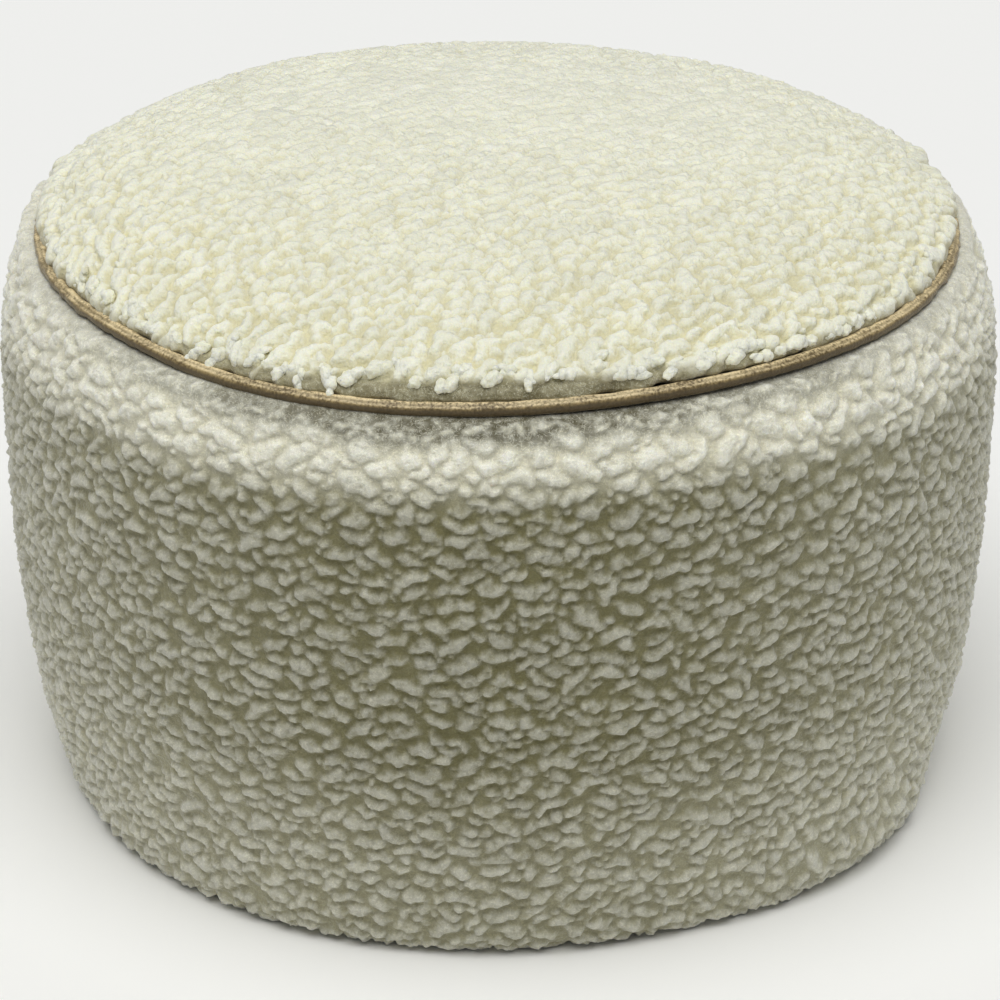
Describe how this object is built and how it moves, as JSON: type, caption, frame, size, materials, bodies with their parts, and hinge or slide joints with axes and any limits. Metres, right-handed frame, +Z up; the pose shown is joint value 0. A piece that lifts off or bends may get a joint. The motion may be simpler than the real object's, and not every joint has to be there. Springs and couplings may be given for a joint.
{
  "type": "round upholstered stool",
  "caption": "Low round pouf: a fleece-covered filled drum with a crowned fleece top, suede-look piping in the seam and a plain cloth base.",
  "frame": {"origin": "on the floor under the middle of the pouf", "axes": "+Z up through the middle of the top; -Y is the front, +X to its right"},
  "size_m": [0.4597, 0.461, 0.297],
  "materials": {
    "top_fleece": "curly cream fleece pile",
    "side_fleece": "curly cream fleece pile",
    "piping_suede": "tan suede-look bias strip over a cord",
    "base_cloth": "plain woven cloth"
  },
  "bodies": {
    "root": {"top_panel": "top_fleece", "side_band": "side_fleece", "piping": "piping_suede", "base_panel": "base_cloth"}
  },
  "joints": []
}
